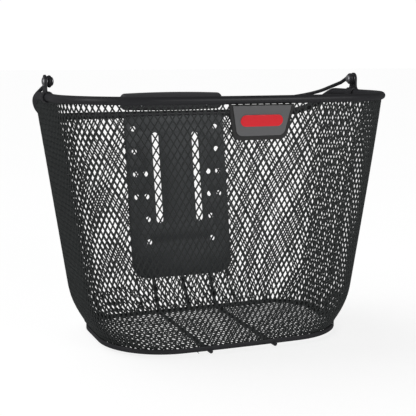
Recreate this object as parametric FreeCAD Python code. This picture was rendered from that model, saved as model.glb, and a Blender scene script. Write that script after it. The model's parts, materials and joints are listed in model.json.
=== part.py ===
import FreeCAD, Part
import math
import os

# Handlebar basket, in millimetres.
# +Z is up, -Y is the front with the badge, +Y is the rear with the mounting plate, X = 0 is the mirror plane.
# The origin is on the ground, under the middle of the whole object's box.

PIVOT_Y = 4.2              # the bail's axis lies this far behind the middle of the box
PIVOT_Z = 254.0            # and this high

# Rim tube and the wall that hangs from it; lengths fore and aft are counted from the bail's axis
RIM_RADIUS = 3.75
RIM_Z = 239.5              # the tube's centre line at the front and sides
REAR_RIM_Z = 214.2         # the same line along the rear
RIM_DROP_START = 36.0      # the line leaves its upper height here
RIM_DROP_END = 102.0       # and has come down to the rear height here
SHEET = 1.4                # thickness of the expanded metal
HALF_WIDTH = 164.4
SIDE_SLOPE = 0.139
FRONT_Y = -128.0
FRONT_SLOPE = 0.128
REAR_Y = 112.4             # the flat rear wall, carried up to the rim's upper height
REAR_SLOPE = 0.169
FRONT_CORNER = (66.0, 86.3)       # corner radii at the base and at the rim
REAR_CORNER = (36.0, 63.0)
FRONT_BOW = (2000.0, 600.0)       # radius of the bowed front at the base and at the rim

# The wall turns in to the base over its lowest part; it is ruled between the levels
TUCK_END_Z = 7.6           # upright below this, inside the base band
SIDE_TUCK_Z = 47.0
REAR_TUCK_Z = 36.0
WALL_LEVELS = (TUCK_END_Z, 11.0, 14.5, 18.0, 22.0, 26.0, 31.0, REAR_TUCK_Z, 41.0, SIDE_TUCK_Z, 90.0, 140.0, 190.0)
HOOP_HALF_WIDTH = 124.4    # middle of the base band
HOOP_FRONT_Y = -91.7
HOOP_REAR_Y = 53.4
HOOP_THICKNESS = 1.2
HOOP_BOTTOM = 2.6
HOOP_TOP = 7.4
WALL_BOTTOM = 4.0
FLOOR_BOTTOM = 4.1
GAP = 0.05

# Mounting plate on the inside of the rear wall
PLATE_THICKNESS = 2.0
PLATE_HALF_WIDTH = 58.0
PLATE_BOTTOM = 37.4
PLATE_TOP = 214.2
PLATE_GAP = 0.2            # between the plate and the wall
PLATE_CORNER = 17.0
PLATE_TOP_CORNER = 3.0
HOLE_RADIUS = 3.0
HOLE_PITCH = 25.0          # along the plate
TOP_HOLE_Z = 199.3
OUTER_HOLE_X = 48.2
INNER_HOLE_X = 36.9
OUTER_ROWS = (0, 1, 2, 3)
INNER_ROWS = (2, 3, 4, 5)
SLOT_X = 23.3
SLOT_WIDTH = 8.0
SLOT_LOW_Z = 96.0
SLOT_HIGH_Z = 194.7
WINDOW_HALF_WIDTH = 53.0   # the wall is open behind the plate
WINDOW_BOTTOM = 46.0

# Wires down the rear and under the floor
WIRE_RADIUS = 2.0
WIRE_X = 33.4
WIRE_TOP_Z = 56.0

# Badge under the front rim
BADGE_TOP = 235.6
BADGE_BOTTOM = 204.0
BADGE_TOP_HALF = 31.6
BADGE_BOTTOM_HALF = 27.2
BADGE_CORNER = 8.0
HOLDER_THICKNESS = 2.6
BADGE_BORDER = 2.8
BADGE_LOWER_BORDER = 1.0   # the border is this much wider along the bottom
BADGE_PLATE_PROUD = 0.8
INLAY_WIDTH = 40.9
INLAY_HEIGHT = 10.4
INLAY_Z = 221.6
INLAY_PROUD = 0.6
STUD_X = 16.0
STUD_RADIUS = 1.6
STUD_LENGTH = 7.0
BACKING_THICKNESS = 1.0
NUT_RADIUS = 4.0
NUT_THICKNESS = 1.4

# Ears on the side rims, and the rivets the bail turns on
EAR_INNER_X = 164.8
EAR_THICKNESS = 2.0
EAR_RADIUS = 6.4
WRAP_CLEARANCE = 0.05
WRAP_THICKNESS = 1.7
EAR_NOTCH_GAP = 0.15
RIVET_RADIUS = 2.0
RUNNING_CLEARANCE = 0.07
SIDE_PLAY = 0.3
WASHER_THICKNESS = 0.9
WASHER_RADIUS = 5.2
RIVET_HEAD_RADIUS = 4.3
RIVET_HEAD_HEIGHT = 2.0

# Bail wire and grip; the bail lies back and a little down at rest
BAIL_RADIUS = 1.9
BAIL_REACH = 115.4         # from the rivets to the middle of the grip
BAIL_CORNER = 58.0
BAIL_ANGLE = 12.9          # degrees below level
GRIP_HALF_LENGTH = 59.0
GRIP_MIDDLE_RADIUS = 10.2
GRIP_END_RADIUS = 9.1
GRIP_EDGE = 5.0
SCREW_X = 38.0
SCREW_Y = 5.5
SCREW_RADIUS = 1.2
SCREW_SEAT = -5.5          # the screws' heads bear here, below the grip's axis
SCREW_TIP = 5.0
SCREW_HEAD_RADIUS = 2.3
SCREW_HEAD_HEIGHT = 1.6
SCREW_GAP = 0.08

UP = FreeCAD.Vector(0, 0, 1)
ALONG_X = FreeCAD.Vector(1, 0, 0)
MIRROR_PLANE = (FreeCAD.Vector(0, 0, 0), ALONG_X)


def vector(x, y, z):
    """A point given from the bail's axis fore and aft, and from the ground up."""
    return FreeCAD.Vector(x, y + PIVOT_Y, z)


def smooth_step(t):
    t = min(max(t, 0.0), 1.0)
    return t * t * (3 - 2 * t)


def rim_height(y):
    """Height of the rim's centre line at a distance y behind the bail's axis."""
    share = smooth_step((y - RIM_DROP_START) / (RIM_DROP_END - RIM_DROP_START))
    return RIM_Z - (RIM_Z - REAR_RIM_Z) * share


def rear_wall(z):
    """The flat rear wall's middle surface, before it turns in."""
    return REAR_Y - REAR_SLOPE * (RIM_Z - z)


def blend(pair, z):
    """A value between its sizes at the base and at the rim."""
    share = (z - TUCK_END_Z) / (RIM_Z - TUCK_END_Z)
    return pair[0] + (pair[1] - pair[0]) * max(share, 0.0)


def wall_plan(z):
    """Half width, front, rear, corner radii and front bow of the wall's middle surface at a height."""
    level = max(z, TUCK_END_Z)
    inset = HOOP_THICKNESS / 2 + SHEET / 2 + GAP
    side_turn = (max(SIDE_TUCK_Z - level, 0) / (SIDE_TUCK_Z - TUCK_END_Z)) ** 2
    rear_turn = (max(REAR_TUCK_Z - level, 0) / (REAR_TUCK_Z - TUCK_END_Z)) ** 2

    def tucked(straight, at_base, turn):
        base_gap = at_base - straight(TUCK_END_Z)
        return straight(level) + base_gap * turn

    half = tucked(lambda h: HALF_WIDTH - SIDE_SLOPE * (RIM_Z - h), HOOP_HALF_WIDTH - inset, side_turn)
    front = tucked(lambda h: FRONT_Y + FRONT_SLOPE * (RIM_Z - h), HOOP_FRONT_Y + inset, side_turn)
    rear = tucked(rear_wall, HOOP_REAR_Y - inset, rear_turn)
    return half, front, rear, blend(FRONT_CORNER, level), blend(REAR_CORNER, level), blend(FRONT_BOW, level)


def grown(plan, by):
    """A plan moved outwards everywhere by the same distance."""
    half, front, rear, front_corner, rear_corner, bow = plan
    return half + by, front - by, rear + by, front_corner + by, rear_corner + by, bow + by


def plan_parts(plan):
    """Centres and the bow's tangent angle that the outline and its points share."""
    half, front, rear, front_corner, rear_corner, bow = plan
    corner_x = half - front_corner
    reach = bow - front_corner
    corner_y = front + bow - math.sqrt(reach * reach - corner_x * corner_x)
    bow_angle = math.asin(corner_x / reach)
    return corner_x, corner_y, bow_angle


def plan_wire(plan, z):
    """Closed outline at a height: bowed front, four round corners, straight sides and rear."""
    half, front, rear, front_corner, rear_corner, bow = plan
    corner_x, corner_y, bow_angle = plan_parts(plan)
    rear_x = half - rear_corner
    rear_y = rear - rear_corner
    slant = math.sqrt(0.5)

    def arc(a, b, c):
        return Part.Arc(vector(*a, z), vector(*b, z), vector(*c, z)).toShape()

    def line(a, b):
        return Part.LineSegment(vector(*a, z), vector(*b, z)).toShape()

    bow_end = (bow * math.sin(bow_angle), front + bow - bow * math.cos(bow_angle))
    middle = (math.pi / 2 - bow_angle) / 2
    front_mid = (corner_x + front_corner * math.cos(middle), corner_y - front_corner * math.sin(middle))
    rear_mid = (rear_x + rear_corner * slant, rear_y + rear_corner * slant)
    side_front = (half, corner_y)
    side_rear = (half, rear_y)
    rear_end = (rear_x, rear)

    def mirror(p):
        return (-p[0], p[1])

    edges = [
        arc(mirror(bow_end), (0, front), bow_end),
        arc(bow_end, front_mid, side_front),
        line(side_front, side_rear),
        arc(side_rear, rear_mid, rear_end),
        line(rear_end, mirror(rear_end)),
        arc(mirror(rear_end), mirror(rear_mid), mirror(side_rear)),
        line(mirror(side_rear), mirror(side_front)),
        arc(mirror(side_front), mirror(front_mid), mirror(bow_end)),
    ]
    return Part.Wire(edges)


def plan_lengths(plan):
    """Lengths of the bow, front corner, side, rear corner and rear along the right half of the outline."""
    half, front, rear, front_corner, rear_corner, bow = plan
    corner_x, corner_y, bow_angle = plan_parts(plan)
    return [
        bow * bow_angle,
        front_corner * (math.pi / 2 - bow_angle),
        rear - rear_corner - corner_y,
        rear_corner * math.pi / 2,
        half - rear_corner,
    ]


def plan_point(plan, share):
    """A point of the side or rear of the right half: share runs from 0 at the front to 1 at the rear."""
    half, front, rear, front_corner, rear_corner, bow = plan
    lengths = plan_lengths(plan)
    along_side = share * sum(lengths) - lengths[0] - lengths[1]
    if along_side <= lengths[2]:
        return half, rear - rear_corner - lengths[2] + along_side
    turn = min((along_side - lengths[2]) / rear_corner, math.pi / 2)
    return half - rear_corner * (1 - math.cos(turn)), rear - rear_corner * (1 - math.sin(turn))


def mirrored(shape):
    return shape.mirror(*MIRROR_PLANE)


def box(x, y, z):
    """A box from pairs of low and high X, Y and Z."""
    return Part.makeBox(x[1] - x[0], y[1] - y[0], z[1] - z[0], vector(x[0], y[0], z[0]))


def pin(radius, x_low, x_high, y, z):
    """A round bar along X."""
    return Part.makeCylinder(radius, x_high - x_low, vector(x_low, y, z), ALONG_X)


def swept_round(path, radius):
    """A round wire along a path of tangent lines and arcs."""
    first = path.Edges[0]
    start = first.valueAt(first.FirstParameter)
    heading = first.tangentAt(first.FirstParameter)
    section = Part.Wire([Part.Circle(start, heading, radius).toShape()])
    return path.makePipeShell([section], True, False)


def filleted_path(points, radii):
    """Straight runs through the points, joined by tangent arcs of the given radii."""
    edges = []
    start = points[0]
    for corner, after, radius in zip(points[1:-1], points[2:], radii):
        to_start = (start - corner).normalize()
        to_after = (after - corner).normalize()
        half_angle = to_start.getAngle(to_after) / 2
        setback = radius / math.tan(half_angle)
        arc_start = corner + to_start * setback
        arc_end = corner + to_after * setback
        inward = (to_start + to_after).normalize()
        arc_middle = corner + inward * (radius / math.sin(half_angle) - radius)
        edges.append(Part.LineSegment(start, arc_start).toShape())
        edges.append(Part.Arc(arc_start, arc_middle, arc_end).toShape())
        start = arc_end
    edges.append(Part.LineSegment(start, points[-1]).toShape())
    return Part.Wire(edges)


def wall_loft(by, low, high):
    """The wall's form as a solid, moved outwards by a distance, between two heights."""
    levels = [low] + [z for z in WALL_LEVELS if low < z < high] + [high]
    wires = [plan_wire(grown(wall_plan(z), by), z) for z in levels]
    return Part.makeLoft(wires, True, True)


def above_rim():
    """Everything above the rim's centre line, to trim the wall with."""
    steps = 12
    span = RIM_DROP_END - RIM_DROP_START
    drop = [RIM_DROP_START + span * i / steps for i in range(steps + 1)]
    curve = Part.BSplineCurve()
    curve.interpolate([vector(-200, y, rim_height(y)) for y in drop])
    corners = [
        vector(-200, RIM_DROP_END, REAR_RIM_Z),
        vector(-200, 200, REAR_RIM_Z),
        vector(-200, 200, 300),
        vector(-200, -200, 300),
        vector(-200, -200, RIM_Z),
        vector(-200, RIM_DROP_START, RIM_Z),
    ]
    edges = [curve.toShape()]
    edges += [Part.LineSegment(a, b).toShape() for a, b in zip(corners, corners[1:])]
    return Part.Face(Part.Wire(edges)).extrude(FreeCAD.Vector(400, 0, 0))


def rear_window():
    """The opening in the rear wall behind the plate."""
    return box((-WINDOW_HALF_WIDTH, WINDOW_HALF_WIDTH), (50, 150), (WINDOW_BOTTOM, 300))


def ear_notches():
    """Gaps in the wall's top edge, where the ears' loops pass round the rim."""
    half = EAR_RADIUS + EAR_NOTCH_GAP
    low = RIM_Z - RIM_RADIUS - WRAP_CLEARANCE - WRAP_THICKNESS - EAR_NOTCH_GAP
    near = HALF_WIDTH - 10
    far = HALF_WIDTH + 10
    return [box(pair, (-half, half), (low, 260)) for pair in ((-far, -near), (near, far))]


def make_wall():
    outer = wall_loft(SHEET / 2, WALL_BOTTOM, 250)
    inner = wall_loft(-SHEET / 2, WALL_BOTTOM - 2, 252)
    return outer.cut(inner).cut(above_rim()).cut(rear_window()).cut(ear_notches())


def make_floor():
    plan = grown(wall_plan(WALL_BOTTOM), -SHEET / 2 - GAP)
    return Part.Face(plan_wire(plan, FLOOR_BOTTOM)).extrude(UP * SHEET)


def make_hoop():
    middle = (HOOP_HALF_WIDTH, HOOP_FRONT_Y, HOOP_REAR_Y, FRONT_CORNER[0], REAR_CORNER[0], FRONT_BOW[0])
    outer = Part.Face(plan_wire(grown(middle, HOOP_THICKNESS / 2), HOOP_BOTTOM))
    inner = Part.Face(plan_wire(grown(middle, -HOOP_THICKNESS / 2), HOOP_BOTTOM))
    return outer.cut(inner).extrude(UP * (HOOP_TOP - HOOP_BOTTOM))


def rim_point(share):
    """A point of the rim's centre line, which lies on the wall's middle surface."""
    z = RIM_Z
    for _ in range(30):
        x, y = plan_point(wall_plan(z), share)
        z = rim_height(y)
    return vector(x, y, z)


def make_rim():
    """The right half of the tube, level in front and dipping to the rear, and its mirror image."""
    plan = wall_plan(RIM_Z)
    half, front, rear, front_corner, rear_corner, bow = plan
    corner_x, corner_y, bow_angle = plan_parts(plan)
    bow_end = vector(bow * math.sin(bow_angle), front + bow - bow * math.cos(bow_angle), RIM_Z)
    bow_middle = vector(bow * math.sin(bow_angle / 2), front + bow - bow * math.cos(bow_angle / 2), RIM_Z)
    turn = (math.pi / 2 + bow_angle) / 2
    corner_middle = vector(corner_x + front_corner * math.sin(turn), corner_y - front_corner * math.cos(turn), RIM_Z)
    side_start = vector(half, corner_y, RIM_Z)
    drop_start = vector(half, RIM_DROP_START, RIM_Z)

    lengths = plan_lengths(plan)
    low_lengths = plan_lengths(wall_plan(REAR_RIM_Z))
    first = (lengths[0] + lengths[1] + RIM_DROP_START - corner_y) / sum(lengths)
    last = 1 - low_lengths[4] / sum(low_lengths)
    steps = 16
    dip_points = [rim_point(first + (last - first) * i / steps) for i in range(steps + 1)]
    dip = Part.BSplineCurve()
    dip.interpolate(Points=dip_points, InitialTangent=FreeCAD.Vector(0, 1, 0), FinalTangent=ALONG_X * -1)

    rear_end = vector(0, wall_plan(REAR_RIM_Z)[2], REAR_RIM_Z)
    path = Part.Wire([
        Part.Arc(vector(0, front, RIM_Z), bow_middle, bow_end).toShape(),
        Part.Arc(bow_end, corner_middle, side_start).toShape(),
        Part.LineSegment(side_start, drop_start).toShape(),
        dip.toShape(),
        Part.LineSegment(dip_points[-1], rear_end).toShape(),
    ])
    right = swept_round(path, RIM_RADIUS)
    return right.fuse(mirrored(right)).removeSplitter()


def plate_front(z):
    return rear_wall(z) - SHEET / 2 - PLATE_GAP - PLATE_THICKNESS


def on_plate(x, z):
    """A point of the plate's front face."""
    return vector(x, plate_front(z), z)


def plate_normal():
    """Out of the plate's rear face."""
    return FreeCAD.Vector(0, 1, -REAR_SLOPE).normalize()


def make_plate():
    low, high = PLATE_BOTTOM, PLATE_TOP
    half = PLATE_HALF_WIDTH
    corners = [
        (on_plate(-half, high), PLATE_TOP_CORNER),
        (on_plate(half, high), PLATE_TOP_CORNER),
        (on_plate(half, low), PLATE_CORNER),
        (on_plate(-half, low), PLATE_CORNER),
    ]
    start = on_plate(0, high)
    points = [start] + [p for p, _ in corners[1:]] + [corners[0][0], start]
    radii = [r for _, r in corners[1:]] + [corners[0][1]]
    through = plate_normal()
    plate = Part.Face(filleted_path(points, radii)).extrude(through * PLATE_THICKNESS)
    z_step = HOLE_PITCH / math.sqrt(1 + REAR_SLOPE * REAR_SLOPE)
    holes = [(OUTER_HOLE_X, row) for row in OUTER_ROWS] + [(INNER_HOLE_X, row) for row in INNER_ROWS]
    for x, row in holes:
        for side in (-1, 1):
            centre = on_plate(side * x, TOP_HOLE_Z - row * z_step) - through * 5
            plate = plate.cut(Part.makeCylinder(HOLE_RADIUS, 12, centre, through))
    for side in (-1, 1):
        plate = plate.cut(make_slot(side * SLOT_X))
    return plate


def make_slot(x):
    """The tool that cuts one slot: a bar with round ends, square to the plate."""
    through = plate_normal()
    radius = SLOT_WIDTH / 2
    low = on_plate(x, SLOT_LOW_Z + radius) - through * 5
    high = on_plate(x, SLOT_HIGH_Z - radius) - through * 5
    across = ALONG_X * radius
    sides = [low - across, low + across, high + across, high - across, low - across]
    middle = Part.Face(Part.makePolygon(sides)).extrude(through * 12)
    ends = [Part.makeCylinder(radius, 12, end, through) for end in (low, high)]
    return middle.fuse(ends)


def wire_line(z):
    """Where a rear wire's centre runs along the outside of the flat rear wall."""
    return rear_wall(z) + SHEET / 2 + WIRE_RADIUS - 0.1


def make_skid_wire():
    """A wire down the rear wall, round the base and forward under the floor to the front band."""
    bend_z = 33.0
    points = [
        vector(WIRE_X, wire_line(WIRE_TOP_Z), WIRE_TOP_Z),
        vector(WIRE_X, wire_line(bend_z), bend_z),
        vector(WIRE_X, HOOP_REAR_Y + 10.0, WIRE_RADIUS),
        vector(WIRE_X, HOOP_FRONT_Y - 0.8, WIRE_RADIUS),
    ]
    return swept_round(filleted_path(points, [16.0, 13.0]), WIRE_RADIUS)


def make_centre_wire():
    """The middle wire ends on the base band."""
    bend_z = 33.0
    points = [
        vector(0, wire_line(WIRE_TOP_Z), WIRE_TOP_Z),
        vector(0, wire_line(bend_z), bend_z),
        vector(0, HOOP_REAR_Y + HOOP_THICKNESS / 2 + WIRE_RADIUS - 0.3, HOOP_BOTTOM + 2.4),
    ]
    return swept_round(filleted_path(points, [16.0]), WIRE_RADIUS)


def badge_face(z):
    """The front of the wall's sheet behind the badge."""
    return FRONT_Y + FRONT_SLOPE * (RIM_Z - z) - SHEET / 2


def badge_normal():
    """Out of the badge's front."""
    return FreeCAD.Vector(0, -1, -FRONT_SLOPE).normalize()


def badge_outline(inset, offset):
    """The badge's outline: straight top, sides that close downwards, round lower corners."""
    def at(x, z):
        return vector(x, badge_face(z), z) + badge_normal() * offset

    lean = (BADGE_TOP_HALF - BADGE_BOTTOM_HALF) / (BADGE_TOP - BADGE_BOTTOM)
    low = BADGE_BOTTOM + inset + (BADGE_LOWER_BORDER if inset else 0)
    high = BADGE_TOP - min(inset, 0.6)
    top_half = BADGE_TOP_HALF - inset - lean * (BADGE_TOP - high)
    low_half = BADGE_BOTTOM_HALF - inset + lean * inset
    points = [at(0, high), at(top_half, high), at(low_half, low), at(-low_half, low), at(-top_half, high), at(0, high)]
    corner = BADGE_CORNER - inset / 2
    return Part.Face(filleted_path(points, [1.0, corner, corner, 1.0]))


def make_badge_holder():
    """A shallow tray with two studs through the wall; its back lies clear of the bowed wall."""
    out = badge_normal()
    tray = badge_outline(0, 0.2).extrude(out * HOLDER_THICKNESS)
    pocket = badge_outline(BADGE_BORDER, 0.2 + HOLDER_THICKNESS - 1.0).extrude(out * 2)
    tray = tray.cut(pocket)
    for side in (-1, 1):
        base = vector(side * STUD_X, badge_face(INLAY_Z), INLAY_Z) + out * 1.0
        tray = tray.fuse(Part.makeCylinder(STUD_RADIUS, STUD_LENGTH, base, out * -1))
    return tray.removeSplitter()


def make_badge_plate():
    outline = badge_outline(BADGE_BORDER + GAP, 0.2 + HOLDER_THICKNESS - 1.0)
    return outline.extrude(badge_normal() * (1.0 + BADGE_PLATE_PROUD))


def make_badge_inlay():
    """A raised pill on the badge plate."""
    out = badge_normal()
    radius = INLAY_HEIGHT / 2
    lift = 0.2 + HOLDER_THICKNESS + BADGE_PLATE_PROUD
    centre = vector(0, badge_face(INLAY_Z), INLAY_Z) + out * lift
    along = ALONG_X * (INLAY_WIDTH / 2 - radius)
    up = FreeCAD.Vector(0, -FRONT_SLOPE, 1).normalize() * radius
    lower = [centre - along - up, centre + along - up]
    upper = [centre + along + up, centre - along + up]
    right_mid = centre + along + ALONG_X * radius
    left_mid = centre - along - ALONG_X * radius
    edges = [
        Part.LineSegment(lower[0], lower[1]).toShape(),
        Part.Arc(lower[1], right_mid, upper[0]).toShape(),
        Part.LineSegment(upper[0], upper[1]).toShape(),
        Part.Arc(upper[1], left_mid, lower[0]).toShape(),
    ]
    return Part.Face(Part.Wire(edges)).extrude(out * INLAY_PROUD)


def behind_badge(x, depth):
    """A point behind the wall's sheet, at the studs' height."""
    return vector(x, badge_face(INLAY_Z), INLAY_Z) - badge_normal() * (SHEET + depth)


def make_badge_backing():
    """A flat strip inside the wall, with a hole for each stud."""
    inward = badge_normal() * -1
    up = FreeCAD.Vector(0, -FRONT_SLOPE, 1).normalize() * 6
    across = ALONG_X * (STUD_X + 7)
    centre = behind_badge(0, 0.8)
    corners = [centre + across + up, centre + across - up, centre - across - up, centre - across + up]
    start = centre + up
    strip = Part.Face(filleted_path([start] + corners + [start], [3.0] * 4)).extrude(inward * BACKING_THICKNESS)
    for side in (-1, 1):
        hole = Part.makeCylinder(STUD_RADIUS + 0.1, 6, behind_badge(side * STUD_X, -2), inward)
        strip = strip.cut(hole)
    return strip


def make_badge_nuts():
    inward = badge_normal() * -1
    nuts = []
    for side in (-1, 1):
        base = behind_badge(side * STUD_X, 0.8 + BACKING_THICKNESS + GAP)
        nut = Part.makeCylinder(NUT_RADIUS, NUT_THICKNESS, base, inward)
        nuts.append(nut.cut(Part.makeCylinder(STUD_RADIUS + 0.02, 6, base - inward * 2, inward)))
    return Part.makeCompound(nuts)


def make_ear():
    """The right ear: a loop round the rim tube, and a flat strap with a round top above it."""
    half = EAR_RADIUS
    inner = EAR_INNER_X
    outer = EAR_INNER_X + EAR_THICKNESS
    hold = RIM_RADIUS + WRAP_CLEARANCE
    along_y = FreeCAD.Vector(0, 1, 0)
    loop_start = vector(HALF_WIDTH, -half, RIM_Z)
    loop = Part.makeCylinder(hold + WRAP_THICKNESS, 2 * half, loop_start, along_y)
    flare = Part.makeCylinder(half + 2.0, EAR_THICKNESS, vector(inner, 0, RIM_Z + 1.0), ALONG_X)
    strap = box((inner, outer), (-half, half), (RIM_Z + hold - 1, PIVOT_Z))
    ear = loop.fuse([flare, strap, pin(half, inner, outer, 0, PIVOT_Z)])
    ear = ear.cut(Part.makeCylinder(hold, 40, vector(HALF_WIDTH, -20, RIM_Z), along_y))
    ear = ear.cut(pin(RIVET_RADIUS + 0.02, inner - 5, outer + 5, 0, PIVOT_Z))
    return ear.removeSplitter()


def eye_x():
    """The plane of the bail's right eye."""
    return EAR_INNER_X - WASHER_THICKNESS - SIDE_PLAY - BAIL_RADIUS


def make_washer():
    low = EAR_INNER_X - WASHER_THICKNESS
    ring = pin(WASHER_RADIUS, low, EAR_INNER_X - 0.02, 0, PIVOT_Z)
    return ring.cut(pin(RIVET_RADIUS + 0.02, low - 1, EAR_INNER_X + 1, 0, PIVOT_Z))


def domed_head(x, outward):
    """A rivet's head: a low dome on a plane of constant X."""
    sag = RIVET_HEAD_HEIGHT
    ball = (RIVET_HEAD_RADIUS ** 2 + sag ** 2) / (2 * sag)
    centre = vector(x + outward * (sag - ball), 0, PIVOT_Z)
    x_pair = (x, x + 20) if outward > 0 else (x - 20, x)
    return Part.makeSphere(ball, centre).common(box(x_pair, (-20, 20), (PIVOT_Z - 20, PIVOT_Z + 20)))


def make_rivet():
    head_x = eye_x() - BAIL_RADIUS - SIDE_PLAY
    tail_x = EAR_INNER_X + EAR_THICKNESS + 0.02
    shank = pin(RIVET_RADIUS, head_x - 0.5, tail_x + 0.5, 0, PIVOT_Z)
    return shank.fuse([domed_head(head_x, -1), domed_head(tail_x, 1)]).removeSplitter()


def laid_back(shape):
    """Turns a level bail, drawn straight back from its axis, down to its place at rest."""
    turned = shape.copy()
    turned.rotate(vector(0, 0, PIVOT_Z), ALONG_X, -BAIL_ANGLE)
    return turned


def make_bail():
    x = eye_x()
    eye_radius = RIVET_RADIUS + RUNNING_CLEARANCE + BAIL_RADIUS
    start = vector(x, eye_radius, PIVOT_Z)
    end = vector(-x, eye_radius, PIVOT_Z)
    corners = [vector(x, BAIL_REACH, PIVOT_Z), vector(-x, BAIL_REACH, PIVOT_Z)]
    bow = swept_round(filleted_path([start] + corners + [end], [BAIL_CORNER] * 2), BAIL_RADIUS)
    eyes = [Part.makeTorus(eye_radius, BAIL_RADIUS, vector(side * x, 0, PIVOT_Z), ALONG_X) for side in (-1, 1)]
    bores = [pin(eye_radius - BAIL_RADIUS, side * x - 5, side * x + 5, 0, PIVOT_Z) for side in (-1, 1)]
    return laid_back(bow.fuse(eyes).cut(bores).removeSplitter())


def grip_barrel():
    """A crowned barrel round the middle of the level bail, with rounded ends and a bore for the wire."""
    half = GRIP_HALF_LENGTH
    axis_point = vector(0, BAIL_REACH, PIVOT_Z)

    def at(x, radius):
        return axis_point + FreeCAD.Vector(x, 0, radius)

    def rounded_end(side):
        round_mid = GRIP_EDGE * (1 - math.sqrt(0.5))
        x = side * half
        return Part.Arc(
            at(x, GRIP_END_RADIUS - GRIP_EDGE),
            at(x - side * round_mid, GRIP_END_RADIUS - round_mid),
            at(x - side * GRIP_EDGE, GRIP_END_RADIUS),
        ).toShape()

    bore = BAIL_RADIUS + GAP
    shoulder = half - GRIP_EDGE
    edges = [
        Part.LineSegment(at(-half, bore), at(-half, GRIP_END_RADIUS - GRIP_EDGE)).toShape(),
        rounded_end(-1),
        Part.Arc(at(-shoulder, GRIP_END_RADIUS), at(0, GRIP_MIDDLE_RADIUS), at(shoulder, GRIP_END_RADIUS)).toShape(),
        rounded_end(1),
        Part.LineSegment(at(half, GRIP_END_RADIUS - GRIP_EDGE), at(half, bore)).toShape(),
        Part.LineSegment(at(half, bore), at(-half, bore)).toShape(),
    ]
    return Part.Face(Part.Wire(edges)).revolve(axis_point, ALONG_X, 360)


def upright(radius, x, y, low, high):
    """A round bar square to the level bail, with its ends counted from the grip's axis."""
    return Part.makeCylinder(radius, high - low, vector(x, BAIL_REACH + y, PIVOT_Z + low), UP)


def make_grip_parts():
    """Two half shells that close on the wire, and the four screws that hold them together from below."""
    places = [(x, y) for x in (-SCREW_X, SCREW_X) for y in (-SCREW_Y, SCREW_Y)]
    shanks = [upright(SCREW_RADIUS, x, y, SCREW_SEAT, SCREW_TIP) for x, y in places]
    heads = [upright(SCREW_HEAD_RADIUS, x, y, SCREW_SEAT - SCREW_HEAD_HEIGHT, SCREW_SEAT) for x, y in places]
    drives = [upright(SCREW_RADIUS, x, y, SCREW_SEAT - 4, SCREW_SEAT - 0.8) for x, y in places]
    screws = [head.cut(drive).fuse(shank).removeSplitter() for head, drive, shank in zip(heads, drives, shanks)]
    bores = [upright(SCREW_RADIUS + SCREW_GAP, x, y, SCREW_SEAT - 1, SCREW_TIP + 0.5) for x, y in places]
    pockets = [upright(SCREW_HEAD_RADIUS + 0.3, x, y, -20, SCREW_SEAT + SCREW_GAP) for x, y in places]

    barrel = grip_barrel().cut(bores).cut(pockets)
    x_pair = (-80, 80)
    y_pair = (BAIL_REACH - 30, BAIL_REACH + 30)
    above = box(x_pair, y_pair, (PIVOT_Z + GAP / 2, PIVOT_Z + 30))
    below = box(x_pair, y_pair, (PIVOT_Z - 30, PIVOT_Z - GAP / 2))
    return {
        "grip_upper": laid_back(barrel.common(above)),
        "grip_lower": laid_back(barrel.common(below)),
        "grip_screws": laid_back(Part.makeCompound(screws)),
    }


def make_parts():
    ear = make_ear()
    rivet = make_rivet()
    washer = make_washer()
    skid = make_skid_wire()
    return {
        "wall_mesh": make_wall(),
        "floor_mesh": make_floor(),
        "top_rim": make_rim(),
        "base_hoop": make_hoop(),
        "skid_wire_right": skid,
        "skid_wire_left": mirrored(skid),
        "centre_wire": make_centre_wire(),
        "mounting_plate": make_plate(),
        "badge_holder": make_badge_holder(),
        "badge_plate": make_badge_plate(),
        "badge_inlay": make_badge_inlay(),
        "badge_backing": make_badge_backing(),
        "badge_push_nuts": make_badge_nuts(),
        "ear_right": ear,
        "ear_left": mirrored(ear),
        "pivot_rivet_right": rivet,
        "pivot_rivet_left": mirrored(rivet),
        "pivot_washer_right": washer,
        "pivot_washer_left": mirrored(washer),
        "bail_wire": make_bail(),
        **make_grip_parts(),
    }


os.makedirs("parts", exist_ok=True)
whole = FreeCAD.BoundBox()
for name, shape in make_parts().items():
    shape.exportStep(f"parts/{name}.step")
    whole.add(shape.optimalBoundingBox(False))
    print(name, "valid", shape.isValid(), "solids", len(shape.Solids), "volume", round(shape.Volume))
print("box", whole)
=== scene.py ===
import json
import math
import bpy
import numpy as np
from bpy.props import FloatProperty, FloatVectorProperty, IntProperty, PointerProperty
from mathutils import Matrix, Vector


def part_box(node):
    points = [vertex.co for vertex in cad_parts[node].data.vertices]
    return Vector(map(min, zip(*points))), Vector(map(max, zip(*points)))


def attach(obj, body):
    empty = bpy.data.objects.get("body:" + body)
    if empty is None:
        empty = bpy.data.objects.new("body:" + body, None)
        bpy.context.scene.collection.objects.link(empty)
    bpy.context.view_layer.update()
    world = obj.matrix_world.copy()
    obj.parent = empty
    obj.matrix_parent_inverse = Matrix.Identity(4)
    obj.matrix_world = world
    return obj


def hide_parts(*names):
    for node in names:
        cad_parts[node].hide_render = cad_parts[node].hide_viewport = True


# A handlebar basket of expanded metal, with a tube rim, a slotted rear plate, a badge and a swinging bail.
# Metres. +Z is up, -Y is the front with the badge, +Y the rear with the plate, X = 0 is the mirror plane.

bl_info = {
    "name": "Handlebar basket",
    "version": (1, 0, 0),
    "blender": (4, 5, 0),
    "location": "View3D > Sidebar > Basket",
    "description": "Builds an expanded metal handlebar basket with a carrying bail around its packed frame",
    "category": "Add Mesh",
}

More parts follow.
